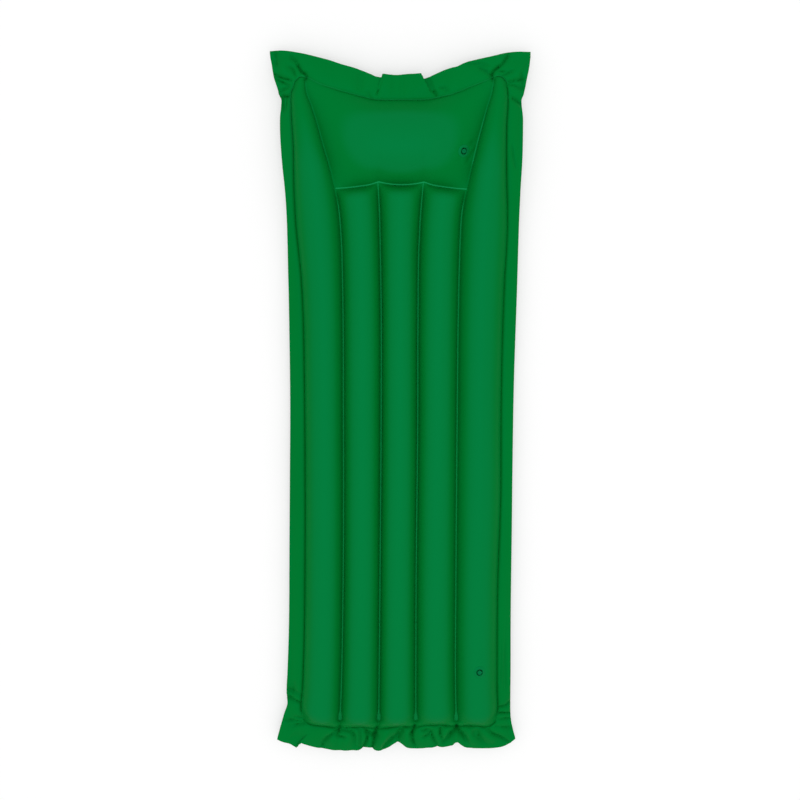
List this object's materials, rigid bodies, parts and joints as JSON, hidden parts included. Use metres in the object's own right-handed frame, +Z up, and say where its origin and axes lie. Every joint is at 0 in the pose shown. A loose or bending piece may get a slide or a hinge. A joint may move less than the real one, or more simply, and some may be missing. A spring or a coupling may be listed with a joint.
{
  "type": "pool air mattress",
  "caption": "Inflatable pool air mattress: lengthwise air tubes, a pillow chamber, a gathered welded skirt and push-in valves with stoppers.",
  "frame": {"origin": "on the ground, under the middle of the mattress's outline", "axes": "+X to the right seen from above with the pillow away, +Y along the tubes towards the pillow end, +Z up"},
  "size_m": [0.6146, 1.7527, 0.0984],
  "materials": {
    "film": "smooth satin PVC film, green through and through",
    "valve": "soft moulded vinyl, a little darker green",
    "plug": "soft moulded vinyl, darker blue-green"
  },
  "bodies": {
    "mattress": {"top_sheet": "film", "bottom_sheet": "film", "main_valve_flange": "valve", "main_valve_neck": "valve", "pillow_valve_flange": "valve", "pillow_valve_neck": "valve"},
    "main_stem": {"main_valve_stem": "valve", "main_valve_strap": "plug"},
    "main_flap": {"main_valve_flap": "valve"},
    "main_plug": {"main_valve_plug": "plug"},
    "pillow_stem": {"pillow_valve_stem": "valve", "pillow_valve_strap": "plug"},
    "pillow_flap": {"pillow_valve_flap": "valve"},
    "pillow_plug": {"pillow_valve_plug": "plug"}
  },
  "joints": [
    {"name": "main_valve_pull", "type": "slide", "parent": "mattress", "child": "main_stem", "axis": [0.1008, 0.0017, 0.9949], "range_m": [0, 0.014], "deforming": ["main_valve_neck"]},
    {"name": "main_flap_swing", "type": "hinge", "parent": "main_stem", "child": "main_flap", "pos_m": [0.20783, -0.65153, 0.05455], "axis": [0.0002, -1, 0.0017], "range_deg": [0, 65], "stiffness_Nm_per_rad": 0.00005, "springref_deg": -17.19},
    {"name": "main_plug_pull", "type": "slide", "parent": "main_stem", "child": "main_plug", "axis": [0.1008, 0.0017, 0.9949], "range_m": [0, 0.012], "deforming": ["main_valve_strap"]},
    {"name": "pillow_valve_pull", "type": "slide", "parent": "mattress", "child": "pillow_stem", "axis": [0.4473, -0.165, 0.879], "range_m": [0, 0.014], "deforming": ["pillow_valve_neck"]},
    {"name": "pillow_flap_swing", "type": "hinge", "parent": "pillow_stem", "child": "pillow_flap", "pos_m": [0.14508, 0.64452, 0.04972], "axis": [-0.0748, -0.9863, -0.147], "range_deg": [0, 65], "stiffness_Nm_per_rad": 0.00005, "springref_deg": -17.19},
    {"name": "pillow_plug_pull", "type": "slide", "parent": "pillow_stem", "child": "pillow_plug", "axis": [0.4473, -0.165, 0.879], "range_m": [0, 0.012], "deforming": ["pillow_valve_strap"]}
  ]
}
